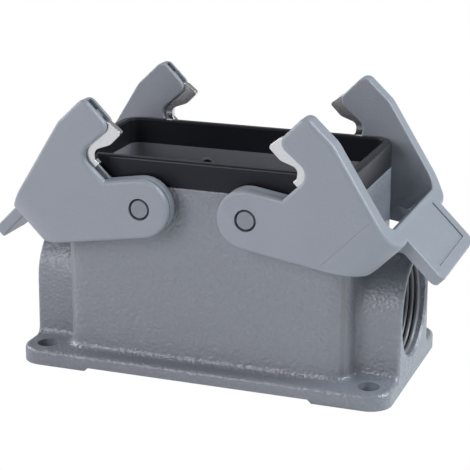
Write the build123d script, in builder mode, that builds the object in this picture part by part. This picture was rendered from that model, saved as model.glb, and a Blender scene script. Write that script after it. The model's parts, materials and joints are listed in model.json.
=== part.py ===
import math
import os

from build123d import *

# Surface-mounting base of a heavy duty rectangular connector, two levers swung open.
# X runs along the length with the cable entry at +X, Y is the depth, Z is up,
# and the origin is the middle of the base plate's underside. All sizes are in millimetres.

# Fixing holes
fixing_pitch_x = 94.0
fixing_hole_radius = 3.0

# Base plate, measured out from the fixing holes and from the box
hole_to_plate_end = 6.5
hole_to_plate_side = 6.1
box_to_plate_side = 5.5
plate_height = 4.5
plate_corner_radius = 6.2
plate_edge_radius = 1.2
foot_length = 21.5
foot_height = 1.0

# Box that stands on the plate
hole_to_box = 6.0
box_width = 46.2
box_corner_radius = 6.0
rim_height = 53.9
rim_edge_radius = 0.5
wall = 2.65
floor_top = 4.0
root_radius = 2.0

# End bosses: a threaded cable entry at +X and a closed end at -X
boss_axis_height = 20.2
boss_foot_spread = 0.5
entry_radius = 13.4
boss_wall = 2.0
entry_land = 0.2
pocket_side_wall = 4.4
pocket_end_wall = 3.0

# Pillars for a contact insert
insert_pitch_x = 57.0
insert_pitch_y = 27.0
insert_hole_radius = 1.65
insert_hole_depth = 12.0
pillar_radius = 4.2
pillar_drop = 12.0

# Pivots
pivot_spacing = 29.84
pivot_drop = 4.94
pivot_pad_radius = 8.5
pivot_pad_height = 1.0

# Seal on the rim
seal_height = 7.3
seal_edge_radius = 0.8
seal_inner_chamfer = 0.5
tongue_width = 1.0
tongue_depth = 1.0
tongue_clearance = 0.05

# Pivot pins
pin_shoulder_radius = 2.95
pin_shank_radius = 2.2
pin_face_radius = 2.65
pin_face_step = 1.6
pin_face_recess = 0.1
pin_peen = 0.25
pin_bore_radius = 1.5
pin_bore_depth = 3.0
pin_running_clearance = 0.05
pin_wall_clearance = 0.02

# Lever arms
arm_side_gap = 0.25
arm_thickness = 5.7
arm_end_radius = 8.1
arm_outer_edge = 1.2
arm_inner_edge = 0.5
neck_slope = 9.2
neck_length = 8.9
heel_radius = 3.0
throat_corner = (17.4, 13.45)
throat_radius = 3.4
hook_tip = (8.1, 21.2)
hook_tip_radius = 2.8
hook_top = (15.8, 28.95)
hook_top_radius = 2.2
arm_shoulder = (23.46, 21.7)

# Lever bridge and grip tab, in the lever's own slope: u runs out of the bridge, d along it
lever_slope = 45.0
closed_gap = 0.95
bridge_wall = 5.0
arch_start = 13.8
bridge_top = 25.6
shoulder_run = 3.9
shoulder_radius = 7.0
bend_outer_radius = 9.0
bend_inner_radius = 4.8
arch_to_arm = 6.35
arch_spread = 6.0
arch_knee_drop = 3.9
arch_radius = 3.0
arch_foot_radius = 4.0
tab_reach = 13.5
tab_beyond_arch = 0.7
tab_thickness = 3.4
tab_corner_radius = 2.8
tab_edge_radius = 0.6
tab_root_radius = 2.0
tab_web = 0.4
gland_clearance = 0.1
recess_depth = 0.4
recess_end_margin = 3.2
recess_side_margin = 4.5
recess_inner_margin = 2.7
recess_corner_radius = 0.5

# Slot in each arm and the latch plate in it
slot_outer_skin = 1.8
slot_width = 2.4
plate_side_clearance = 0.2
slot_edge_clearance = 0.3
latch_eye_radius = 5.4
parting_line_width = 0.4
parting_line_depth = 2.0

# Sizes that follow from those above
plate_length = fixing_pitch_x + 2 * hole_to_plate_end
plate_width = box_width + 2 * box_to_plate_side
fixing_pitch_y = plate_width - 2 * hole_to_plate_side
box_length = fixing_pitch_x - 2 * hole_to_box
boss_radius = entry_radius + boss_wall
pocket_radius = boss_radius - pocket_side_wall
entry_chamfer = boss_wall - plate_edge_radius - entry_land
cavity_length = box_length - 2 * wall
cavity_width = box_width - 2 * wall
pivot_x = pivot_spacing / 2
pivot_z = rim_height - pivot_drop
pad_face_y = box_width / 2 + pivot_pad_height
arm_inner_y = pad_face_y + arm_side_gap
arm_outer_y = arm_inner_y + arm_thickness
slot_middle_y = arm_outer_y - slot_outer_skin - slot_width / 2
parting_line_y = arm_outer_y - slot_outer_skin - parting_line_width / 2
bridge_inner = box_length / 2 - pivot_x + closed_gap
bridge_outer = bridge_inner + bridge_wall
arch_half_width = arm_inner_y - arch_to_arm
tab_half_width = arch_half_width + tab_beyond_arch
tab_end = bridge_outer + tab_reach
tab_under = bridge_top - tab_thickness
pin_hole_radius = pin_shoulder_radius + pin_running_clearance


def on_slope(u, d):
    """Turn a place on the lever's slope into x and z from the pivot."""
    angle = math.radians(lever_slope)
    return (u * math.cos(angle) + d * math.sin(angle), d * math.cos(angle) - u * math.sin(angle))


def pivot_plane(y):
    """Upright plane through a depth y, with x and z measured from the right pivot."""
    return Plane(origin=(pivot_x, y, pivot_z), x_dir=(1, 0, 0), z_dir=(0, -1, 0))


def rim_ring(width):
    """Draw a ring of a given width along the middle of the rim."""
    length = box_length - wall
    depth = box_width - wall
    corner = box_corner_radius - wall / 2
    RectangleRounded(length + width, depth + width, corner + width / 2)
    RectangleRounded(length - width, depth - width, corner - width / 2, mode=Mode.SUBTRACT)


# Plane across the lever's slope: its x is u, its y is the depth, its normal is d
slope_plane = Plane(origin=(pivot_x, 0, pivot_z), x_dir=(1, 0, -1), z_dir=(1, 0, 1))

# Plane of the bridge's outer face: its x is the depth, its y is d, its normal is u
bridge_plane = Plane(origin=(pivot_x, 0, pivot_z), x_dir=(0, 1, 0), z_dir=(1, 0, -1))


# Reach within which an edge counts as lying on a plane
near = 0.01

os.makedirs("parts", exist_ok=True)


def save(piece, name):
    """Name a finished piece and write it to its own file."""
    piece.label = name
    export_step(piece, f"parts/{name}.step")


# Housing
with BuildPart() as housing:
    # Plate and the box on it, with a rounded rim
    with BuildSketch(Plane.XY):
        RectangleRounded(plate_length, plate_width, plate_corner_radius)
    extrude(amount=plate_height)
    with BuildSketch(Plane.XY.offset(floor_top)):
        RectangleRounded(box_length, box_width, box_corner_radius)
    extrude(amount=rim_height - floor_top)
    fillet(housing.faces().sort_by(Axis.Z)[-1].edges(), rim_edge_radius)

    # Both end bosses, as one arched bar through the box
    boss_foot = boss_radius + boss_foot_spread
    boss_top = boss_axis_height + boss_radius
    with BuildSketch(Plane.YZ):
        with BuildLine():
            Line((-boss_foot, 0), (-boss_radius, boss_axis_height))
            ThreePointArc((-boss_radius, boss_axis_height), (0, boss_top), (boss_radius, boss_axis_height))
            Line((boss_radius, boss_axis_height), (boss_foot, 0))
            Line((boss_foot, 0), (-boss_foot, 0))
        make_face()
    extrude(amount=plate_length / 2, both=True)

    # Soft roots where bosses, box and plate meet, then a rounded edge round the plate and boss ends
    plate_lines = housing.edges().filter_by_position(Axis.Z, plate_height - near, plate_height + near)
    root = plate_lines.filter_by(lambda e: abs(e.center().Y) < box_width / 2 + near)
    root = root.filter_by(lambda e: abs(e.center().X) < plate_length / 2 - near)
    above = housing.edges().filter_by(lambda e: e.center().Z > plate_height + near)
    creases = above.filter_by(lambda e: abs(abs(e.center().X) - box_length / 2) < near)
    creases = creases.filter_by(lambda e: abs(e.center().Y) < boss_foot)
    fillet(root + creases, root_radius)
    plate_lines = housing.edges().filter_by_position(Axis.Z, plate_height - near, plate_height + near)
    rim = plate_lines.filter_by(
        lambda e: abs(e.center().Y) > box_width / 2 + root_radius + near
        or abs(e.center().X) > plate_length / 2 - near
    )
    fillet(rim, plate_edge_radius)

    # Round pads for the pivots on both long walls, cut off at the rim
    for side in (-1, 1):
        with BuildSketch(Plane.XZ.offset(-side * (box_width - wall) / 2)):
            with Locations((-pivot_x, pivot_z), (pivot_x, pivot_z)):
                Circle(pivot_pad_radius)
            with Locations((0, rim_height)):
                Rectangle(
                    box_length,
                    2 * pivot_pad_radius,
                    align=(Align.CENTER, Align.MIN),
                    mode=Mode.SUBTRACT,
                )
        extrude(amount=-side * (wall / 2 + pivot_pad_height))

    # Cavity, then four pillars for an insert, each backed by the long wall beside it
    with BuildSketch(Plane.XY.offset(floor_top)):
        RectangleRounded(cavity_length, cavity_width, box_corner_radius - wall)
    extrude(amount=rim_height, mode=Mode.SUBTRACT)
    web_depth = (cavity_width - insert_pitch_y + wall) / 2
    for side in (-1, 1):
        with BuildSketch(Plane.XY.offset(floor_top - wall / 2)):
            with GridLocations(insert_pitch_x, 0, 2, 1):
                with Locations((0, side * insert_pitch_y / 2)):
                    Circle(pillar_radius)
                with Locations((0, side * (insert_pitch_y + web_depth) / 2)):
                    Rectangle(2 * pillar_radius, web_depth)
        extrude(amount=rim_height - pillar_drop - floor_top + wall / 2)
    with BuildSketch(Plane.XY.offset(rim_height - pillar_drop)):
        with GridLocations(insert_pitch_x, insert_pitch_y, 2, 2):
            Circle(insert_hole_radius)
    extrude(amount=-insert_hole_depth, mode=Mode.SUBTRACT)

    # Cable entry with a chamfered mouth, and the blind pocket that cores the closed boss
    with BuildSketch(Plane.YZ.offset(cavity_length / 2 - wall)):
        with Locations((0, boss_axis_height)):
            Circle(entry_radius)
    extrude(amount=plate_length, mode=Mode.SUBTRACT)
    end_circles = housing.edges().filter_by(GeomType.CIRCLE).group_by(Axis.X)[-1]
    chamfer(end_circles.filter_by(lambda e: abs(e.radius - entry_radius) < near), entry_chamfer)
    with BuildSketch(Plane.YZ.offset(-cavity_length / 2 + wall)):
        with Locations((0, boss_axis_height)):
            Circle(pocket_radius)
    extrude(amount=pocket_end_wall - (plate_length - cavity_length) / 2 - wall, mode=Mode.SUBTRACT)

    # Fixing holes, and the relief between the feet at the two ends
    with BuildSketch(Plane.XY):
        with GridLocations(fixing_pitch_x, fixing_pitch_y, 2, 2):
            Circle(fixing_hole_radius)
    extrude(amount=plate_height, mode=Mode.SUBTRACT)
    relief_end = plate_length / 2 - foot_length
    with BuildSketch(Plane.XZ):
        with BuildLine():
            Polyline(
                (-relief_end - foot_height, 0),
                (-relief_end, foot_height),
                (relief_end, foot_height),
                (relief_end + foot_height, 0),
                close=True,
            )
        make_face()
    extrude(amount=plate_width / 2, both=True, mode=Mode.SUBTRACT)

    # Pivot pin holes through pads and walls
    with BuildSketch(Plane.XZ):
        with Locations((-pivot_x, pivot_z), (pivot_x, pivot_z)):
            Circle(pin_shank_radius + pin_wall_clearance)
    extrude(amount=pad_face_y, both=True, mode=Mode.SUBTRACT)

    # Groove in the rim for the seal's tongue
    groove_width = tongue_width + 2 * tongue_clearance
    with BuildSketch(Plane.XY.offset(rim_height)):
        rim_ring(groove_width)
    extrude(amount=-tongue_depth - tongue_clearance, mode=Mode.SUBTRACT)
save(housing.part, "housing")


# Seal: a ring that carries on the walls of the box, with a tongue in the rim's groove
with BuildPart() as seal:
    with BuildSketch(Plane.XY.offset(rim_height)):
        RectangleRounded(box_length, box_width, box_corner_radius)
        RectangleRounded(cavity_length, cavity_width, box_corner_radius - wall, mode=Mode.SUBTRACT)
    extrude(amount=seal_height)
    top_wires = seal.faces().sort_by(Axis.Z)[-1].wires().sort_by(SortBy.LENGTH)
    chamfer(top_wires[0].edges(), seal_inner_chamfer)
    top_wires = seal.faces().sort_by(Axis.Z)[-1].wires().sort_by(SortBy.LENGTH)
    fillet(top_wires[-1].edges(), seal_edge_radius)
    with BuildSketch(Plane.XY.offset(rim_height)):
        rim_ring(tongue_width)
    extrude(amount=-tongue_depth)
save(seal.part, "seal")


# Outline of a lever arm, from the neck round the hook, down to the bridge and back along its foot
neck_angle = math.radians(neck_slope)
neck_x = arm_end_radius * math.sin(neck_angle)
neck_z = arm_end_radius * math.cos(neck_angle)
notch_x = neck_x + neck_length * math.cos(neck_angle)
notch_z = neck_z - neck_length * math.sin(neck_angle)
foot_rise = math.tan(neck_angle)
slope_angle = math.radians(lever_slope)
heel_reach = bridge_outer - (neck_z + neck_x * foot_rise) * math.sin(slope_angle)
heel_x = heel_reach / (math.cos(slope_angle) + foot_rise * math.sin(slope_angle))
heel_z = -neck_z - (heel_x + neck_x) * foot_rise
arm_corners = [
    ((-neck_x, -neck_z), 0),
    ((heel_x, heel_z), heel_radius),
    (on_slope(bridge_outer, bridge_top), 0),
    (on_slope(bridge_outer - shoulder_run, bridge_top), shoulder_radius),
    (arm_shoulder, shoulder_radius),
    (hook_top, hook_top_radius),
    (hook_tip, hook_tip_radius),
    (throat_corner, throat_radius),
    ((notch_x, notch_z), 0),
    ((neck_x, neck_z), 0),
]

# Outline of a latch plate, from where it leaves the hook, round the throat, and back through the slot
latch_corners = [
    ((11.5, 23.0), 0),
    ((8.5, 22.2), 1.0),
    ((5.4, 19.7), 0.9),
    ((8.8, 16.3), 3.0),
    ((13.55, 14.6), 1.9),
    ((13.2, 11.9), 0.5),
    ((12.2, 10.9), 0.15),
    ((13.5, 9.6), 0),
    ((14.6, 8.0), 0.8),
    ((10.5, 4.6), 3.0),
    ((1.0, 5.2), 0),
    ((0.9, -5.2), 0),
    ((17.0, -4.0), 4.0),
    ((20.0, 6.0), 5.0),
    ((20.3, 13.5), 3.0),
    ((14.6, 20.2), 2.0),
    ((15.2, 23.6), 0.8),
    ((13.0, 25.6), 0.3),
    ((11.2, 23.7), 0.3),
]

# Open side of the slot, along the notch, the throat and the hook
slot_mouth = [
    (notch_x, notch_z),
    (13.2, 5.9),
    (19.8, 12.8),
    (13.0, 19.3),
    (17.0, 24.6),
    (15.0, 28.2),
    (4.0, 26.0),
    (4.0, 16.0),
    (notch_x - 3.0, notch_z + 4.0),
]


def on_tab(place):
    """Tell whether a place is on the upper or lower rim of the grip tab."""
    local = slope_plane.to_local_coords(place)
    level = min(abs(local.Z - bridge_top), abs(local.Z - tab_under))
    return local.X > bridge_outer + near and level < near


# Right lever
with BuildPart() as right_lever:
    # Channel of two arms and a bridge, cut to the arm outline
    with BuildSketch(slope_plane):
        RectangleRounded(2 * bridge_outer, 2 * arm_outer_y, bend_outer_radius)
        RectangleRounded(2 * bridge_inner, 2 * arm_inner_y, bend_inner_radius, mode=Mode.SUBTRACT)
    extrude(amount=2 * bridge_outer, both=True)
    with BuildSketch(pivot_plane(0)):
        with BuildLine():
            FilletPolyline([at for at, _ in arm_corners], radius=[r for _, r in arm_corners], close=True)
        make_face()
        Circle(arm_end_radius)
    extrude(amount=arm_outer_y, both=True, mode=Mode.INTERSECT)

    # Arch under the bridge, over the end boss and its gland
    with BuildSketch(bridge_plane.offset(bridge_outer)):
        with BuildLine():
            FilletPolyline(
                (-arch_half_width - arch_spread, 0),
                (-arch_half_width - arch_spread, arch_start),
                (-arch_half_width, tab_under - arch_knee_drop),
                (-arch_half_width, tab_under),
                (arch_half_width, tab_under),
                (arch_half_width, tab_under - arch_knee_drop),
                (arch_half_width + arch_spread, arch_start),
                (arch_half_width + arch_spread, 0),
                radius=(arch_foot_radius, arch_radius, arch_radius, arch_radius, arch_radius, arch_foot_radius),
            )
            Line((arch_half_width + arch_spread, 0), (-arch_half_width - arch_spread, 0))
        make_face()
    extrude(amount=-bend_outer_radius, mode=Mode.SUBTRACT)

    # Grip tab, level with the bridge's top edge
    with BuildSketch(slope_plane.offset(bridge_top)):
        with Locations((bridge_inner, 0)):
            RectangleRounded(2 * (tab_end - bridge_inner), 2 * tab_half_width, tab_corner_radius)
        with Locations((bridge_inner, 0)):
            Rectangle(
                2 * tab_end,
                2 * arm_outer_y,
                align=(Align.MAX, Align.CENTER),
                mode=Mode.SUBTRACT,
            )
    extrude(amount=-tab_thickness)

    # Rounded edges on the arms' outer and inner faces, then round the tab
    for face_y, radius in ((arm_outer_y, arm_outer_edge), (arm_inner_y, arm_inner_edge)):
        outline = right_lever.edges().filter_by(lambda e: e.bounding_box().size.Y < near)
        outline = outline.filter_by(lambda e: abs(abs(e.center().Y) - face_y) < near)
        fillet(outline - outline.filter_by(Axis(slope_plane.origin, slope_plane.z_dir)), radius)
    tab_edges = right_lever.edges().filter_by(lambda e: on_tab(e.center()))
    fillet(tab_edges, tab_edge_radius)

    # Rounded webs under the tab's root, one beside each end of the arch
    root_bow = tab_root_radius * (1 - math.sqrt(0.5))
    for side in (-1, 1):
        with BuildSketch(pivot_plane(side * (arch_half_width + tab_web / 2))):
            with BuildLine():
                Polyline(
                    on_slope(bridge_outer + tab_root_radius, tab_under),
                    on_slope(bridge_outer + tab_root_radius, tab_under + tab_web),
                    on_slope(bridge_outer - tab_web, tab_under + tab_web),
                    on_slope(bridge_outer - tab_web, tab_under - tab_root_radius),
                    on_slope(bridge_outer, tab_under - tab_root_radius),
                )
                ThreePointArc(
                    on_slope(bridge_outer, tab_under - tab_root_radius),
                    on_slope(bridge_outer + root_bow, tab_under - root_bow),
                    on_slope(bridge_outer + tab_root_radius, tab_under),
                )
            make_face()
        extrude(amount=tab_web / 2, both=True)

    # Scoop in the tab's lower corner, clear of a gland in the cable entry
    with BuildSketch(Plane.YZ.offset(plate_length / 2)):
        with Locations((0, boss_axis_height)):
            Circle(entry_radius + gland_clearance)
    extrude(amount=plate_length / 2, mode=Mode.SUBTRACT)

    # Shallow bare field on the tab, rounded at its corners
    field_start = bridge_inner + recess_inner_margin
    field_end = tab_end - recess_end_margin
    with BuildSketch(slope_plane.offset(bridge_top)):
        with Locations(((field_start + field_end) / 2, 0)):
            RectangleRounded(
                field_end - field_start,
                2 * (tab_half_width - recess_side_margin),
                recess_corner_radius,
            )
    extrude(amount=-recess_depth, mode=Mode.SUBTRACT)

    # In each arm: the pin's hole, the slot for the latch plate and the fine parting line
    for side in (-1, 1):
        with BuildSketch(pivot_plane(0)):
            Circle(pin_hole_radius)
        extrude(amount=-side * arm_outer_y, mode=Mode.SUBTRACT)
        with BuildSketch(pivot_plane(side * slot_middle_y)):
            with BuildLine():
                FilletPolyline(
                    [at for at, _ in latch_corners],
                    radius=[radius for _, radius in latch_corners],
                    close=True,
                )
            make_face()
            Circle(latch_eye_radius)
            offset(amount=slot_edge_clearance)
            with BuildLine():
                Polyline(slot_mouth, close=True)
            make_face()
        extrude(amount=slot_width / 2, both=True, mode=Mode.SUBTRACT)
        with BuildSketch(pivot_plane(side * parting_line_y)):
            with BuildLine():
                Polyline((neck_x, neck_z), (notch_x, notch_z), (0, -arm_end_radius), close=True)
            make_face()
            Circle(arm_end_radius)
            with BuildLine():
                Polyline(
                    (neck_x, neck_z - parting_line_depth),
                    (notch_x, notch_z - parting_line_depth),
                    (notch_x, -arm_end_radius),
                    (0, -arm_end_radius),
                    close=True,
                )
            make_face(mode=Mode.SUBTRACT)
            Circle(arm_end_radius - parting_line_depth, mode=Mode.SUBTRACT)
        extrude(amount=parting_line_width / 2, both=True, mode=Mode.SUBTRACT)
save(right_lever.part, "right_lever")

# Left lever: the same moulding turned round
with BuildPart() as left_lever:
    add(right_lever.part.rotate(Axis.Z, 180))
save(left_lever.part, "left_lever")


# Latch plates, one in the slot of each arm, turning with the lever round the pins
with BuildPart() as latch:
    with BuildSketch(pivot_plane(-slot_middle_y)):
        with BuildLine():
            FilletPolyline(
                [at for at, _ in latch_corners],
                radius=[radius for _, radius in latch_corners],
                close=True,
            )
        make_face()
        Circle(latch_eye_radius)
        Circle(pin_hole_radius, mode=Mode.SUBTRACT)
    extrude(amount=slot_width / 2 - plate_side_clearance, both=True)


# Pivot pin: a stepped rivet, its flush face towards the outside and a hollow end inside the box
with BuildPart() as pin:
    with BuildSketch(pivot_plane(-cavity_width / 2 + pin_peen)):
        Circle(pin_shank_radius)
    extrude(amount=pad_face_y - cavity_width / 2 + pin_peen)
    with BuildSketch(pivot_plane(-pad_face_y)):
        Circle(pin_shoulder_radius)
    extrude(amount=arm_outer_y - pad_face_y - pin_face_recess - pin_face_step)
    with BuildSketch(pin.faces().sort_by(Axis.Y)[0]):
        Circle(pin_face_radius)
    extrude(amount=pin_face_step)
    with BuildSketch(pin.faces().sort_by(Axis.Y)[-1]):
        Circle(pin_bore_radius)
    extrude(amount=-pin_bore_depth, mode=Mode.SUBTRACT)

# Four of each: front and back, right and left
for end, turn in (("right", 0), ("left", 180)):
    for row, mirrored in (("front", turn == 180), ("back", turn == 0)):
        for piece, noun in ((latch.part, "hook"), (pin.part, "pin")):
            placed = mirror(piece, about=Plane.XZ) if mirrored else piece
            save(placed.rotate(Axis.Z, turn), f"{end}_{row}_{noun}")
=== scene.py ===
"""Looks of a surface-mounting connector base with two locking levers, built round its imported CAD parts.

The frame is in metres: X along the length with the cable entry at +X, Y towards the back, Z up,
and the origin in the middle of the base plate's underside.
"""

import json
import math

import bmesh
import bpy
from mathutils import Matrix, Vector


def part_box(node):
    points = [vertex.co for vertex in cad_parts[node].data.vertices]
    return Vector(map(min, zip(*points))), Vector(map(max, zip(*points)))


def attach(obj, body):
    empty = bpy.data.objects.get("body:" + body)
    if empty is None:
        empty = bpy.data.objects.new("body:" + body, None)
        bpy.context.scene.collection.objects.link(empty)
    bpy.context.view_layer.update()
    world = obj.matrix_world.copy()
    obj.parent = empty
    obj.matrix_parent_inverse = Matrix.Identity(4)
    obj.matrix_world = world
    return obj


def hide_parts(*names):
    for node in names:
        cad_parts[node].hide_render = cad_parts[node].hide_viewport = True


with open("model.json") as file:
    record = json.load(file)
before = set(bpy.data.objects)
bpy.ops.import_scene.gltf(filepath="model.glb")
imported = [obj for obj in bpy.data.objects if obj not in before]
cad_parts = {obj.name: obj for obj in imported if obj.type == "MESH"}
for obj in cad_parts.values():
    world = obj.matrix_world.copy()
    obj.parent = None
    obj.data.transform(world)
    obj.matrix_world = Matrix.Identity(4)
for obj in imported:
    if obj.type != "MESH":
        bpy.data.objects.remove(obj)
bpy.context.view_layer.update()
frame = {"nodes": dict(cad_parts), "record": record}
# Pivot of each lever's body, in the middle between its arms
HINGES = {joint["child"]: joint["pos_m"] for joint in frame["record"]["behaviour"]["joints"]}

bl_info = {
    "name": "Connector Base",
    "version": (1, 0, 0),
    "blender": (4, 5, 0),
    "location": "View3D > Sidebar > Connector Base",
    "description": "Dresses the packed connector base: casting, seal, levers, latches, pins and thread",
    "category": "Object",
}

MILLIMETRE = 0.001
MERGE_DISTANCE = 1e-6
# Faces that meet at less than the flat angle are joined, and past the sharp angle they leave a crisp edge
FLAT_ANGLE = math.radians(0.5)
SHARP_ANGLE = math.radians(28)
BEVEL_ANGLE = math.radians(40)
BEVEL_SEGMENTS = 2
# Root of the mould line, as a share of its half width: near the upper side, so that its wide slope faces up
LINE_ROOT = -0.8
# Length over which a pivot pin narrows towards its outer end
PEENED_LENGTH = 1.2 * MILLIMETRE
# Half the wall's thickness under the seal, and half way up the housing's floor
HALF_WALL = 1.3 * MILLIMETRE
FLOOR_MIDDLE = 2.0 * MILLIMETRE
# Strength of the waves of the cast skin under the coat
CAST_WAVES = 0.4
# Half widths of a thread ridge at its foot and its crest, as shares of the pitch, and its steps in one turn
RIDGE_FOOT = 0.47
RIDGE_CREST = 0.27
TURN_STEPS = 96
# The paper lies just under the feet, so that their undersides don't flicker through it
PAPER_HALF_SIZE = 3.0
PAPER_DROP = 0.02 * MILLIMETRE
LIGHT_SIZE = 1.0
LIGHT_TARGET = (0.0, 0.0, 0.03)
SIDES = ("front", "back")
ENDS = ("left", "right")


# Helpers


def linear(colour):
    """Turn an sRGB hex colour such as "#8a8f97" into linear red, green, blue and alpha."""
    shares = [int(colour[i : i + 2], 16) / 255 for i in (1, 3, 5)]
    return [s / 12.92 if s <= 0.04045 else ((s + 0.055) / 1.055) ** 2.4 for s in shares] + [1.0]


def add_node(tree, kind, inputs=None, **settings):
    """Add a node, set its named settings, and fill or link its input sockets."""
    node = tree.nodes.new(kind)
    for name, value in settings.items():
        setattr(node, name, value)
    for name, value in (inputs or {}).items():
        if isinstance(value, bpy.types.NodeSocket):
            tree.links.new(value, node.inputs[name])
        else:
            node.inputs[name].default_value = value
    return node


def new_material(name):
    """Make an empty node material and give back the material and its tree."""
    material = bpy.data.materials.new(name)
    material.use_nodes = True
    material.node_tree.nodes.clear()
    return material, material.node_tree


def clean_copy(node, name):
    """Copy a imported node's mesh under a new name, merged, with flat faces joined and crisp edges marked."""
    piece = bpy.data.objects.new(name, frame["nodes"][node].data.copy())
    piece.data.name = name
    piece.data.materials.clear()
    for attribute in [a for a in piece.data.attributes if a.name == "custom_normal"]:
        piece.data.attributes.remove(attribute)
    bpy.context.scene.collection.objects.link(piece)
    shape = bmesh.new()
    shape.from_mesh(piece.data)
    bmesh.ops.remove_doubles(shape, verts=shape.verts, dist=MERGE_DISTANCE)
    bmesh.ops.dissolve_limit(shape, angle_limit=FLAT_ANGLE, verts=shape.verts, edges=shape.edges)
    for face in shape.faces:
        face.smooth = True
    for edge in shape.edges:
        edge.smooth = len(edge.link_faces) == 2 and edge.calc_face_angle() < SHARP_ANGLE
    shape.to_mesh(piece.data)
    shape.free()
    return piece


def soften(piece, width):
    """Break a piece's crisp edges with a small bevel, and weigh its normals to keep its flat faces flat."""
    bevel = piece.modifiers.new("broken_edges", "BEVEL")
    bevel.width = width
    bevel.segments = BEVEL_SEGMENTS
    bevel.limit_method = "ANGLE"
    bevel.angle_limit = BEVEL_ANGLE
    bevel.harden_normals = True
    weigh = piece.modifiers.new("flat_faces", "WEIGHTED_NORMAL")
    weigh.keep_sharp = True


def cut_mould_line(piece, settings, hinge, outer_y):
    """Cut the fine line that the mould leaves across one arm: in front at the right, behind at the left."""
    outward = math.copysign(1.0, hinge[0])
    across = Vector((outward, 0.0, -1.0)).normalized()
    shape = bmesh.new()
    shape.from_mesh(piece.data)
    # Both banks of the line first, and its root last, because only flat faces are cut
    for bank in (-1.0, 1.0, LINE_ROOT):
        flat = [
            face
            for face in shape.faces
            if all(abs(vert.co.y + outward * outer_y) < MERGE_DISTANCE for vert in face.verts)
        ]
        edges = dict.fromkeys(edge for face in flat for edge in face.edges)
        verts = dict.fromkeys(vert for face in flat for vert in face.verts)
        cut = bmesh.ops.bisect_plane(
            shape,
            geom=[*flat, *edges, *verts],
            plane_co=Vector(hinge) + across * (settings.line_reach + bank * settings.line_width / 2),
            plane_no=across,
        )["geom_cut"]
        for element in cut:
            if isinstance(element, bmesh.types.BMEdge):
                element.smooth = False
    for element in cut:
        if isinstance(element, bmesh.types.BMVert):
            element.co.y += outward * settings.line_depth
        else:
            for face in element.link_faces:
                face.smooth = False
    shape.to_mesh(piece.data)
    shape.free()


def narrow_end(rivet, hinge, ring_width):
    """Narrow a rivet towards its outer end, so that a dark ring shows round it in its hole."""
    shape = bmesh.new()
    shape.from_mesh(rivet.data)
    outermost = max((vert.co for vert in shape.verts), key=lambda place: abs(place.y)).y
    start = abs(outermost) - PEENED_LENGTH
    bmesh.ops.bisect_plane(
        shape,
        geom=[*shape.verts, *shape.edges, *shape.faces],
        plane_co=(0.0, math.copysign(start, outermost), 0.0),
        plane_no=(0.0, 1.0, 0.0),
    )
    ends = [vert for vert in shape.verts if abs(vert.co.y) > start + MERGE_DISTANCE]
    radius = max(math.hypot(vert.co.x - hinge[0], vert.co.z - hinge[2]) for vert in ends)
    for vert in ends:
        share = 1 - ring_width / radius * (abs(vert.co.y) - start) / PEENED_LENGTH
        vert.co.x = hinge[0] + (vert.co.x - hinge[0]) * share
        vert.co.z = hinge[2] + (vert.co.z - hinge[2]) * share
    shape.to_mesh(rivet.data)
    shape.free()


def dress(piece, material, body, slot, *nodes):
    """Give a finished piece its material and its body, and hide the nodes it stands for; the slot argument is
    not used.
    """
    piece.data.materials.clear()
    piece.data.materials.append(material)
    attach(piece, body)
    if nodes:
        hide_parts(*nodes)


# Materials


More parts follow.
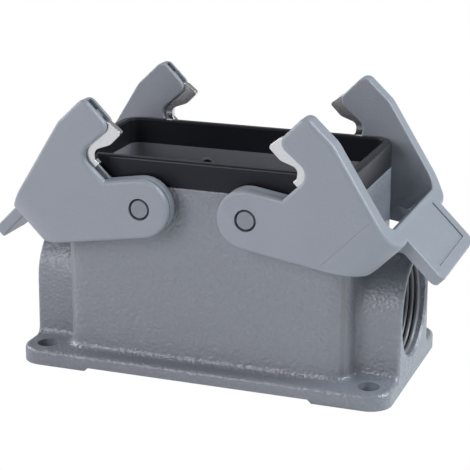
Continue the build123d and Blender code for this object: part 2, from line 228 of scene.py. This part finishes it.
def powder_coat(finish, inside):
    """Textured powder coat on die-cast aluminium: an even grey skin, pebbled, with a low satin gloss.

    Up to the corner called inside, on the cored walls, the coat is a thin and smooth mist, and its darker
    colour there is partly that coat's own tone and partly painted shade of the cavity.
    """
    material, tree = new_material("powder_coated_aluminium")
    place = add_node(tree, "ShaderNodeTexCoord").outputs["Object"]
    axes = add_node(tree, "ShaderNodeSeparateXYZ", {"Vector": place}).outputs
    cored = add_node(
        tree, "ShaderNodeMath", {0: axes["Z"], 1: inside.z}, operation="GREATER_THAN"
    ).outputs[0]
    for axis, limit in (("X", inside.x), ("Y", inside.y)):
        reach = add_node(tree, "ShaderNodeMath", {0: axes[axis]}, operation="ABSOLUTE")
        within = add_node(
            tree, "ShaderNodeMath", {0: reach.outputs[0], 1: limit}, operation="LESS_THAN"
        )
        cored = add_node(
            tree, "ShaderNodeMath", {0: cored, 1: within.outputs[0]}, operation="MULTIPLY"
        ).outputs[0]
    grain_scale = 1 / finish.grain_size
    pebbles = add_node(
        tree,
        "ShaderNodeTexNoise",
        {"Vector": place, "Scale": grain_scale, "Detail": 2.0, "Roughness": 0.45},
    )
    # Long waves of the cast skin under the coat, about six pebbles wide
    waves = add_node(
        tree,
        "ShaderNodeTexNoise",
        {"Vector": place, "Scale": grain_scale / 6, "Detail": 2.0, "Roughness": 0.5},
    )
    tone = add_node(
        tree,
        "ShaderNodeMix",
        {0: 0.16, 6: finish.coat_colour, 7: pebbles.outputs["Fac"]},
        data_type="RGBA",
        blend_type="MULTIPLY",
    )
    # Inside the cavity the colour turns to the darker inner colour: partly the thin coat's own tone, partly
    # painted shade
    coat = add_node(
        tree,
        "ShaderNodeMix",
        {0: cored, 6: tone.outputs[2], 7: finish.inner_shaded_colour},
        data_type="RGBA",
    )
    # Inside, a quarter of the waves and a sixth of the pebbles are left
    wave_strength = add_node(
        tree,
        "ShaderNodeMath",
        {0: cored, 1: -0.75 * CAST_WAVES, 2: CAST_WAVES},
        operation="MULTIPLY_ADD",
    )
    pebble_strength = add_node(
        tree,
        "ShaderNodeMath",
        {0: cored, 1: -finish.grain_strength * 5 / 6, 2: finish.grain_strength},
        operation="MULTIPLY_ADD",
    )
    cast_skin = add_node(
        tree,
        "ShaderNodeBump",
        {"Height": waves.outputs["Fac"], "Strength": wave_strength.outputs[0], "Distance": 0.0009},
    )
    coat_skin = add_node(
        tree,
        "ShaderNodeBump",
        {
            "Height": pebbles.outputs["Fac"],
            "Strength": pebble_strength.outputs[0],
            "Distance": 0.0006,
            "Normal": cast_skin.outputs["Normal"],
        },
    )
    shader = add_node(
        tree,
        "ShaderNodeBsdfPrincipled",
        {
            "Base Color": coat.outputs[2],
            "Roughness": 0.34,
            "IOR": 1.5,
            "Coat Weight": 0.5,
            "Coat Roughness": 0.12,
            "Coat Normal": coat_skin.outputs["Normal"],
            "Normal": coat_skin.outputs["Normal"],
        },
    )
    add_node(tree, "ShaderNodeOutputMaterial", {"Surface": shader.outputs["BSDF"]})
    return material


def lever_plastic(finish):
    """Glass-filled polyamide from an eroded mould: even satin grey, with a grain too fine to see afar."""
    material, tree = new_material("moulded_grey_polyamide")
    place = add_node(tree, "ShaderNodeTexCoord").outputs["Object"]
    # Spark-eroded grain, 0.6 mm wide
    grain = add_node(
        tree, "ShaderNodeTexNoise", {"Vector": place, "Scale": 1650.0, "Detail": 2.0, "Roughness": 0.5}
    )
    # Slight unevenness of the melt, 12 mm wide
    flow = add_node(
        tree, "ShaderNodeTexNoise", {"Vector": place, "Scale": 85.0, "Detail": 2.0, "Roughness": 0.5}
    )
    tone = add_node(
        tree,
        "ShaderNodeMix",
        {0: 0.08, 6: finish.lever_colour, 7: flow.outputs["Fac"]},
        data_type="RGBA",
        blend_type="MULTIPLY",
    )
    bump = add_node(
        tree, "ShaderNodeBump", {"Height": grain.outputs["Fac"], "Strength": 0.5, "Distance": 0.0002}
    )
    shader = add_node(
        tree,
        "ShaderNodeBsdfPrincipled",
        {
            "Base Color": tone.outputs[2],
            "Roughness": 0.4,
            "IOR": 1.53,
            "Normal": bump.outputs["Normal"],
        },
    )
    add_node(tree, "ShaderNodeOutputMaterial", {"Surface": shader.outputs["BSDF"]})
    return material


def seal_rubber(finish):
    """Nitrile rubber, moulded: near black, with a soft shine where it turns to the light."""
    material, tree = new_material("black_nitrile_rubber")
    place = add_node(tree, "ShaderNodeTexCoord").outputs["Object"]
    # Matt mould skin, 0.7 mm wide
    skin = add_node(
        tree, "ShaderNodeTexNoise", {"Vector": place, "Scale": 1400.0, "Detail": 2.0, "Roughness": 0.5}
    )
    tone = add_node(
        tree,
        "ShaderNodeMix",
        {0: 0.3, 6: finish.rubber_colour, 7: skin.outputs["Fac"]},
        data_type="RGBA",
        blend_type="MULTIPLY",
    )
    bump = add_node(
        tree, "ShaderNodeBump", {"Height": skin.outputs["Fac"], "Strength": 0.1, "Distance": 0.0001}
    )
    shader = add_node(
        tree,
        "ShaderNodeBsdfPrincipled",
        {
            "Base Color": tone.outputs[2],
            "Roughness": 0.3,
            "IOR": 1.52,
            "Specular IOR Level": 0.25,
            "Specular Tint": linear("#eef1ff"),
            "Normal": bump.outputs["Normal"],
        },
    )
    add_node(tree, "ShaderNodeOutputMaterial", {"Surface": shader.outputs["BSDF"]})
    return material


def latch_steel(finish):
    """Stamped stainless spring steel, tumbled bright: mirrors what it faces, broken up by fine speckle."""
    material, tree = new_material("tumbled_spring_steel")
    place = add_node(tree, "ShaderNodeTexCoord").outputs["Object"]
    # Tumbling marks, 0.5 mm wide
    speckle = add_node(
        tree, "ShaderNodeTexNoise", {"Vector": place, "Scale": 2000.0, "Detail": 3.0, "Roughness": 0.6}
    )
    tone = add_node(
        tree,
        "ShaderNodeMix",
        {0: 0.2, 6: finish.steel_colour, 7: speckle.outputs["Fac"]},
        data_type="RGBA",
        blend_type="MULTIPLY",
    )
    bump = add_node(
        tree, "ShaderNodeBump", {"Height": speckle.outputs["Fac"], "Strength": 0.15, "Distance": 0.0001}
    )
    shader = add_node(
        tree,
        "ShaderNodeBsdfPrincipled",
        {
            "Base Color": tone.outputs[2],
            "Metallic": 1.0,
            "Roughness": 0.22,
            "Normal": bump.outputs["Normal"],
        },
    )
    add_node(tree, "ShaderNodeOutputMaterial", {"Surface": shader.outputs["BSDF"]})
    return material


def pin_zinc(finish):
    """Zinc-plated steel rivet with a grey passivated skin: matt and slightly blotched."""
    material, tree = new_material("grey_plated_rivet")
    place = add_node(tree, "ShaderNodeTexCoord").outputs["Object"]
    # Blotches of the plating, 0.8 mm wide
    blotches = add_node(
        tree, "ShaderNodeTexNoise", {"Vector": place, "Scale": 1250.0, "Detail": 3.0, "Roughness": 0.6}
    )
    tone = add_node(
        tree,
        "ShaderNodeMix",
        {0: 0.25, 6: finish.rivet_colour, 7: blotches.outputs["Fac"]},
        data_type="RGBA",
        blend_type="MULTIPLY",
    )
    bump = add_node(
        tree, "ShaderNodeBump", {"Height": blotches.outputs["Fac"], "Strength": 0.2, "Distance": 0.0001}
    )
    shader = add_node(
        tree,
        "ShaderNodeBsdfPrincipled",
        {
            "Base Color": tone.outputs[2],
            "Metallic": 0.3,
            "Roughness": 0.48,
            "Normal": bump.outputs["Normal"],
        },
    )
    add_node(tree, "ShaderNodeOutputMaterial", {"Surface": shader.outputs["BSDF"]})
    return material


def cut_thread_metal(finish):
    """Thread cut through the coat: bare aluminium, dulled and smeared by cutting oil."""
    material, tree = new_material("cut_aluminium_thread")
    place = add_node(tree, "ShaderNodeTexCoord").outputs["Object"]
    # Smears left by the tap, 1.7 mm wide
    smear = add_node(
        tree, "ShaderNodeTexNoise", {"Vector": place, "Scale": 600.0, "Detail": 3.0, "Roughness": 0.6}
    )
    tone = add_node(
        tree,
        "ShaderNodeMix",
        {0: 0.3, 6: finish.thread_colour, 7: smear.outputs["Fac"]},
        data_type="RGBA",
        blend_type="MULTIPLY",
    )
    shader = add_node(
        tree,
        "ShaderNodeBsdfPrincipled",
        {"Base Color": tone.outputs[2], "Metallic": 0.2, "Roughness": 0.42},
    )
    add_node(tree, "ShaderNodeOutputMaterial", {"Surface": shader.outputs["BSDF"]})
    return material


def studio_paper(glow):
    """White paper on a lit table: plain white to the eye, with a soft glow on what stands on it."""
    material, tree = new_material("white_background_paper")
    place = add_node(tree, "ShaderNodeTexCoord").outputs["Object"]
    pulp = add_node(tree, "ShaderNodeTexNoise", {"Vector": place, "Scale": 8.0, "Detail": 2.0})
    tone = add_node(
        tree,
        "ShaderNodeMix",
        {0: 0.04, 6: linear("#ededed"), 7: pulp.outputs["Fac"]},
        data_type="RGBA",
        blend_type="MULTIPLY",
    )
    matt = add_node(tree, "ShaderNodeBsdfDiffuse", {"Color": tone.outputs[2]})
    soft_glow = add_node(tree, "ShaderNodeEmission", {"Color": linear("#ffffff"), "Strength": glow})
    lit_paper = add_node(
        tree, "ShaderNodeAddShader", {0: matt.outputs["BSDF"], 1: soft_glow.outputs["Emission"]}
    )
    plain_white = add_node(tree, "ShaderNodeEmission", {"Color": linear("#ffffff"), "Strength": 1.0})
    seen = add_node(tree, "ShaderNodeLightPath")
    paper = add_node(
        tree,
        "ShaderNodeMixShader",
        {
            0: seen.outputs["Is Camera Ray"],
            1: lit_paper.outputs["Shader"],
            2: plain_white.outputs["Emission"],
        },
    )
    add_node(tree, "ShaderNodeOutputMaterial", {"Surface": paper.outputs["Shader"]})
    return material


# Sizes and colours that a user would change


class ConnectorFinishSettings(bpy.types.PropertyGroup):
    """Colours and surfaces of the pieces"""

    coat_colour: bpy.props.FloatVectorProperty(
        name="Coat colour",
        description="Colour of the powder coat on the casting",
        default=linear("#898e96"),
        size=4,
        min=0.0,
        max=1.0,
        subtype="COLOR",
    )
    # Darker colour inside the cavity: partly the thin coat's own tone, partly painted shade of the cavity
    inner_shaded_colour: bpy.props.FloatVectorProperty(
        name="Inner colour",
        description="Colour of the thin coat on the cored walls inside",
        default=linear("#7d7e83"),
        size=4,
        min=0.0,
        max=1.0,
        subtype="COLOR",
    )
    grain_size: bpy.props.FloatProperty(
        name="Grain size",
        description="Width of one pebble of the textured coat",
        default=0.9 * MILLIMETRE,
        min=0.1 * MILLIMETRE,
        unit="LENGTH",
        precision=5,
    )
    grain_strength: bpy.props.FloatProperty(
        name="Grain strength",
        description="How strongly the pebbles of the coat catch the light",
        default=0.62,
        min=0.0,
        max=1.0,
        subtype="FACTOR",
    )
    lever_colour: bpy.props.FloatVectorProperty(
        name="Lever colour",
        description="Colour of the moulded levers",
        default=linear("#989ea6"),
        size=4,
        min=0.0,
        max=1.0,
        subtype="COLOR",
    )
    rubber_colour: bpy.props.FloatVectorProperty(
        name="Seal colour",
        description="Colour of the rubber seal",
        default=linear("#202125"),
        size=4,
        min=0.0,
        max=1.0,
        subtype="COLOR",
    )
    steel_colour: bpy.props.FloatVectorProperty(
        name="Latch plate colour",
        description="Colour of the spring steel",
        default=linear("#dcdcdd"),
        size=4,
        min=0.0,
        max=1.0,
        subtype="COLOR",
    )
    rivet_colour: bpy.props.FloatVectorProperty(
        name="Pivot pin colour",
        description="Colour of the plated pivot pins",
        default=linear("#8f949c"),
        size=4,
        min=0.0,
        max=1.0,
        subtype="COLOR",
    )
    thread_colour: bpy.props.FloatVectorProperty(
        name="Thread colour",
        description="Colour of the cut thread",
        default=linear("#8b8d92"),
        size=4,
        min=0.0,
        max=1.0,
        subtype="COLOR",
    )
    ring_width: bpy.props.FloatProperty(
        name="Ring round the pins",
        description="How much narrower each pivot pin is at its outer end",
        default=0.3 * MILLIMETRE,
        min=0.0,
        unit="LENGTH",
        precision=5,
    )
    edge_break: bpy.props.FloatProperty(
        name="Edge break",
        description="Width of the small bevel on the latch plates and the pivot pins",
        default=0.15 * MILLIMETRE,
        min=0.0,
        unit="LENGTH",
        precision=5,
    )


class ConnectorThreadSettings(bpy.types.PropertyGroup):
    """Thread of the cable entry"""

    axis_height: bpy.props.FloatProperty(
        name="Axis height",
        description="Height of the thread's axis above the mounting surface",
        default=20.2 * MILLIMETRE,
        unit="LENGTH",
        precision=5,
    )
    root_radius: bpy.props.FloatProperty(
        name="Root radius",
        description="Outer radius of the thread, where it meets the wall of the bore",
        default=13.42 * MILLIMETRE,
        unit="LENGTH",
        precision=5,
    )
    crest_height: bpy.props.FloatProperty(
        name="Crest height",
        description="How far each ridge stands in from the wall",
        default=0.86 * MILLIMETRE,
        unit="LENGTH",
        precision=5,
    )
    pitch: bpy.props.FloatProperty(
        name="Pitch",
        description="Distance from one ridge to the next",
        default=1.5 * MILLIMETRE,
        unit="LENGTH",
        precision=5,
    )
    start: bpy.props.FloatProperty(
        name="Inner end",
        description="Where the thread starts, along the length of the base",
        default=39.3 * MILLIMETRE,
        unit="LENGTH",
        precision=5,
    )
    turns: bpy.props.FloatProperty(
        name="Turns",
        description="Number of turns of the thread",
        default=8.6,
        min=1.0,
    )


class ConnectorLeverSettings(bpy.types.PropertyGroup):
    """Fine line that the mould leaves across one arm of each lever"""

    line_reach: bpy.props.FloatProperty(
        name="Line reach",
        description="Distance of the mould line from the pivot, square to the lever's slope",
        default=21.7 * MILLIMETRE,
        unit="LENGTH",
        precision=5,
    )
    line_width: bpy.props.FloatProperty(
        name="Line width",
        description="Width of the mould line",
        default=0.5 * MILLIMETRE,
        unit="LENGTH",
        precision=5,
    )
    line_depth: bpy.props.FloatProperty(
        name="Line depth",
        description="How deep the mould line lies in the arm",
        default=0.14 * MILLIMETRE,
        unit="LENGTH",
        precision=5,
    )


class ConnectorStageSettings(bpy.types.PropertyGroup):
    """Camera, floor and light"""

    camera_place: bpy.props.FloatVectorProperty(
        name="Camera",
        description="Where the camera stands",
        default=(0.14725, -0.39645, 0.16576),
        subtype="XYZ_LENGTH",
        unit="LENGTH",
    )
    camera_target: bpy.props.FloatVectorProperty(
        name="Target",
        description="Point that the camera looks at",
        default=(0.00115, 0.0, 0.03497),
        subtype="XYZ_LENGTH",
        unit="LENGTH",
    )
    focal_length: bpy.props.FloatProperty(
        name="Focal length",
        description="Focal length in millimetres on a 36 mm wide sensor",
        default=120.74,
    )
    surround_reflection: bpy.props.FloatProperty(
        name="Reflected surround",
        description="Brightness of the white studio walls in reflections",
        default=0.32,
    )
    table_glow: bpy.props.FloatProperty(
        name="Table glow",
        description="Strength of the light that the white table throws up",
        default=0.15,
    )
    key_power: bpy.props.FloatProperty(
        name="Key light",
        description="Power of the soft light at the right, behind the object",
        default=24.0,
        unit="POWER",
    )
    front_power: bpy.props.FloatProperty(
        name="Front light",
        description="Power of the soft light at the left, in front of the object",
        default=11.2,
        unit="POWER",
    )
    left_power: bpy.props.FloatProperty(
        name="Left fill",
        description="Power of the fill light at the left",
        default=11.0,
        unit="POWER",
    )
    right_power: bpy.props.FloatProperty(
        name="Right fill",
        description="Power of the fill light at the right, in front of the object",
        default=0.6,
        unit="POWER",
    )


# Pieces


class CONNECTOR_OT_stage(bpy.types.Operator):
    """Lay the pale floor, set the soft light and place the camera"""

    bl_idname = "connector_base.stage"
    bl_label = "Stage"

    def execute(self, context):
        settings = context.scene.connector_stage
        sheet = bpy.data.meshes.new("floor")
        corners = [
            (x * PAPER_HALF_SIZE, y * PAPER_HALF_SIZE, 0.0)
            for x, y in ((-1, -1), (1, -1), (1, 1), (-1, 1))
        ]
        sheet.from_pydata(corners, [], [(0, 1, 2, 3)])
        sheet.materials.append(studio_paper(settings.table_glow))
        floor = bpy.data.objects.new("floor", sheet)
        context.scene.collection.objects.link(floor)
        floor.location.z = -PAPER_DROP

        world = bpy.data.worlds.new("white_surround")
        world.use_nodes = True
        world.node_tree.nodes.clear()
        walls = add_node(
            world.node_tree,
            "ShaderNodeBackground",
            {"Color": linear("#ffffff"), "Strength": settings.surround_reflection},
        )
        # The walls show in reflections only, and light nothing by themselves
        ray = add_node(world.node_tree, "ShaderNodeLightPath")
        surround = add_node(
            world.node_tree,
            "ShaderNodeMixShader",
            {0: ray.outputs["Is Glossy Ray"], 2: walls.outputs["Background"]},
        )
        add_node(world.node_tree, "ShaderNodeOutputWorld", {"Surface": surround.outputs["Shader"]})
        context.scene.world = world

        lights = (
            ("key", (1.14, 0.33, 0.95), "#f3f9ff", settings.key_power),
            ("front", (-0.61, -1.20, 0.69), "#fcfaff", settings.front_power),
            ("left_fill", (-1.35, 0.10, 0.60), "#fcfaff", settings.left_power),
            ("right_fill", (1.30, -0.70, 0.45), "#ffffff", settings.right_power),
        )
        for name, place, tint, power in lights:
            light = bpy.data.lights.new(name, "AREA")
            light.shape = "DISK"
            light.size = LIGHT_SIZE
            light.color = linear(tint)[:3]
            light.energy = power
            lamp = bpy.data.objects.new(name, light)
            context.scene.collection.objects.link(lamp)
            lamp.location = place
            aim = Vector(LIGHT_TARGET) - Vector(place)
            lamp.rotation_euler = aim.to_track_quat("-Z", "Y").to_euler()

        lens = bpy.data.cameras.new("photo_view")
        lens.sensor_width = 36.0
        lens.lens = settings.focal_length
        lens.clip_start = 0.01
        lens.clip_end = 20.0
        camera = bpy.data.objects.new("photo_view", lens)
        context.scene.collection.objects.link(camera)
        camera.location = settings.camera_place
        look = Vector(settings.camera_target) - Vector(settings.camera_place)
        camera.rotation_euler = look.to_track_quat("-Z", "Y").to_euler()
        context.scene.camera = camera
        context.scene.view_settings.view_transform = "Standard"
        return {"FINISHED"}


class CONNECTOR_OT_housing(bpy.types.Operator):
    """Dress the die-cast housing"""

    bl_idname = "connector_base.housing"
    bl_label = "Housing"

    def execute(self, context):
        finish = context.scene.connector_finish
        casting = clean_copy("housing", "housing_casting")
        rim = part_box("seal")[1]
        # Corner of the cavity, inside which the coat is smoother and darker, partly as painted shade
        inside = Vector((rim.x - HALF_WALL, rim.y - HALF_WALL, FLOOR_MIDDLE))
        dress(casting, powder_coat(finish, inside), "base", "grey_powder_coat", "housing")
        return {"FINISHED"}


class CONNECTOR_OT_seal(bpy.types.Operator):
    """Dress the seal on the rim"""

    bl_idname = "connector_base.seal"
    bl_label = "Seal"

    def execute(self, context):
        finish = context.scene.connector_finish
        ring = clean_copy("seal", "rim_seal")
        dress(ring, seal_rubber(finish), "base", "black_rubber", "seal")
        return {"FINISHED"}


class CONNECTOR_OT_levers(bpy.types.Operator):
    """Dress both locking levers"""

    bl_idname = "connector_base.levers"
    bl_label = "Levers"

    def execute(self, context):
        settings = context.scene.connector_lever
        plastic = lever_plastic(context.scene.connector_finish)
        outer_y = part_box("right_lever")[1][1]
        for end in ENDS:
            lever = clean_copy(f"{end}_lever", f"{end}_lever_moulding")
            cut_mould_line(lever, settings, HINGES[f"{end}_lever_body"], outer_y)
            dress(lever, plastic, f"{end}_lever_body", "grey_lever_plastic", f"{end}_lever")
        return {"FINISHED"}


class CONNECTOR_OT_latches(bpy.types.Operator):
    """Dress the latch plates in the levers' arms"""

    bl_idname = "connector_base.latches"
    bl_label = "Latch plates"

    def execute(self, context):
        finish = context.scene.connector_finish
        steel = latch_steel(finish)
        for end in ENDS:
            for side in SIDES:
                node = f"{end}_{side}_hook"
                plate = clean_copy(node, f"{end}_{side}_latch_plate")
                soften(plate, finish.edge_break)
                dress(plate, steel, f"{end}_lever_body", "spring_steel", node)
        return {"FINISHED"}


class CONNECTOR_OT_pins(bpy.types.Operator):
    """Dress the pivot pins"""

    bl_idname = "connector_base.pins"
    bl_label = "Pivot pins"

    def execute(self, context):
        finish = context.scene.connector_finish
        zinc = pin_zinc(finish)
        for end in ENDS:
            for side in SIDES:
                node = f"{end}_{side}_pin"
                rivet = clean_copy(node, f"{end}_{side}_rivet")
                narrow_end(rivet, HINGES[f"{end}_lever_body"], finish.ring_width)
                soften(rivet, finish.edge_break)
                dress(rivet, zinc, "base", "grey_zinc", node)
        return {"FINISHED"}


class CONNECTOR_OT_thread(bpy.types.Operator):
    """Cut the thread of the cable entry with Geometry Nodes"""

    bl_idname = "connector_base.thread"
    bl_label = "Entry thread"

    def execute(self, context):
        settings = context.scene.connector_thread
        metal = cut_thread_metal(context.scene.connector_finish)
        tree = bpy.data.node_groups.new("helical_ridge", "GeometryNodeTree")
        inputs = {}
        for name, value in (
            ("Root Radius", settings.root_radius),
            ("Crest Height", settings.crest_height),
            ("Pitch", settings.pitch),
            ("Turns", settings.turns),
            ("Start", settings.start),
            ("Axis Height", settings.axis_height),
        ):
            socket = tree.interface.new_socket(name, in_out="INPUT", socket_type="NodeSocketFloat")
            inputs[name] = (socket.identifier, value)
        tree.interface.new_socket("Geometry", in_out="OUTPUT", socket_type="NodeSocketGeometry")
        sizes = add_node(tree, "NodeGroupInput").outputs
        length = add_node(
            tree, "ShaderNodeMath", {0: sizes["Pitch"], 1: sizes["Turns"]}, operation="MULTIPLY"
        )
        path = add_node(
            tree,
            "GeometryNodeCurveSpiral",
            {
                "Resolution": TURN_STEPS,
                "Rotations": sizes["Turns"],
                "Start Radius": sizes["Root Radius"],
                "End Radius": sizes["Root Radius"],
                "Height": length.outputs[0],
            },
        )
        upright = add_node(
            tree, "GeometryNodeSetCurveNormal", {"Curve": path.outputs["Curve"]}, mode="Z_UP"
        )
        foot_up = add_node(
            tree, "ShaderNodeMath", {0: sizes["Pitch"], 1: RIDGE_FOOT}, operation="MULTIPLY"
        )
        crest_up = add_node(
            tree, "ShaderNodeMath", {0: sizes["Pitch"], 1: RIDGE_CREST}, operation="MULTIPLY"
        )
        foot_down = add_node(
            tree, "ShaderNodeMath", {0: foot_up.outputs[0], 1: -1.0}, operation="MULTIPLY"
        )
        crest_down = add_node(
            tree, "ShaderNodeMath", {0: crest_up.outputs[0], 1: -1.0}, operation="MULTIPLY"
        )
        corners = [
            add_node(tree, "ShaderNodeCombineXYZ", {"X": 0.0, "Y": foot_down.outputs[0]}),
            add_node(tree, "ShaderNodeCombineXYZ", {"X": 0.0, "Y": foot_up.outputs[0]}),
            add_node(
                tree,
                "ShaderNodeCombineXYZ",
                {"X": sizes["Crest Height"], "Y": crest_up.outputs[0]},
            ),
            add_node(
                tree,
                "ShaderNodeCombineXYZ",
                {"X": sizes["Crest Height"], "Y": crest_down.outputs[0]},
            ),
        ]
        section = add_node(
            tree,
            "GeometryNodeCurvePrimitiveQuadrilateral",
            {f"Point {i + 1}": corner.outputs[0] for i, corner in enumerate(corners)},
            mode="POINTS",
        )
        ridge = add_node(
            tree,
            "GeometryNodeCurveToMesh",
            {
                "Curve": upright.outputs["Curve"],
                "Profile Curve": section.outputs["Curve"],
                "Fill Caps": True,
            },
        )
        place = add_node(
            tree, "ShaderNodeCombineXYZ", {"X": sizes["Start"], "Z": sizes["Axis Height"]}
        )
        moved = add_node(
            tree,
            "GeometryNodeTransform",
            {
                "Geometry": ridge.outputs["Mesh"],
                "Translation": place.outputs[0],
                "Rotation": (0.0, math.radians(90), 0.0),
            },
        )
        real = add_node(
            tree, "GeometryNodeRealizeInstances", {"Geometry": moved.outputs["Geometry"]}
        )
        finish = add_node(
            tree,
            "GeometryNodeSetMaterial",
            {"Geometry": real.outputs["Geometry"], "Material": metal},
        )
        add_node(tree, "NodeGroupOutput", {"Geometry": finish.outputs["Geometry"]})

        maker = bpy.data.objects.new("thread_maker", bpy.data.meshes.new("thread_maker"))
        context.scene.collection.objects.link(maker)
        modifier = maker.modifiers.new("helical_ridge", "NODES")
        modifier.node_group = tree
        for identifier, value in inputs.values():
            modifier[identifier] = value
        evaluated = maker.evaluated_get(context.evaluated_depsgraph_get())
        mesh = bpy.data.meshes.new_from_object(evaluated)
        bpy.data.objects.remove(maker)
        if not mesh.polygons:
            raise RuntimeError("the thread came out empty")
        mesh.name = "entry_thread"
        shape = bmesh.new()
        shape.from_mesh(mesh)
        bmesh.ops.recalc_face_normals(shape, faces=shape.faces)
        shape.to_mesh(mesh)
        shape.free()
        thread = bpy.data.objects.new("entry_thread", mesh)
        context.scene.collection.objects.link(thread)
        dress(thread, metal, "base", "grey_powder_coat")
        return {"FINISHED"}


class CONNECTOR_PT_panel(bpy.types.Panel):
    """Lists the pieces of the connector base in the sidebar"""

    bl_idname = "CONNECTOR_PT_panel"
    bl_label = "Connector Base"
    bl_space_type = "VIEW_3D"
    bl_region_type = "UI"
    bl_category = "Connector Base"

    def draw(self, context):
        for group, _ in SETTINGS:
            settings = getattr(context.scene, group)
            for name in settings.bl_rna.properties.keys():
                if name not in ("rna_type", "name"):
                    self.layout.prop(settings, name)
        for operator in OPERATORS:
            self.layout.operator(operator.bl_idname)


SETTINGS = (
    ("connector_stage", ConnectorStageSettings),
    ("connector_finish", ConnectorFinishSettings),
    ("connector_lever", ConnectorLeverSettings),
    ("connector_thread", ConnectorThreadSettings),
)
OPERATORS = (
    CONNECTOR_OT_stage,
    CONNECTOR_OT_housing,
    CONNECTOR_OT_thread,
    CONNECTOR_OT_seal,
    CONNECTOR_OT_levers,
    CONNECTOR_OT_latches,
    CONNECTOR_OT_pins,
)


def register():
    """Register the settings, the operators and the panel."""
    for name, group in SETTINGS:
        bpy.utils.register_class(group)
        setattr(bpy.types.Scene, name, bpy.props.PointerProperty(type=group))
    for operator in OPERATORS:
        bpy.utils.register_class(operator)
    bpy.utils.register_class(CONNECTOR_PT_panel)


def unregister():
    """Take the panel, the operators and the settings out again."""
    bpy.utils.unregister_class(CONNECTOR_PT_panel)
    for operator in reversed(OPERATORS):
        bpy.utils.unregister_class(operator)
    for name, group in reversed(SETTINGS):
        delattr(bpy.types.Scene, name)
        bpy.utils.unregister_class(group)


def main():
    register()
    for operator in OPERATORS:
        family, name = operator.bl_idname.split(".")
        getattr(getattr(bpy.ops, family), name)()


if __name__ == "__main__":
    main()
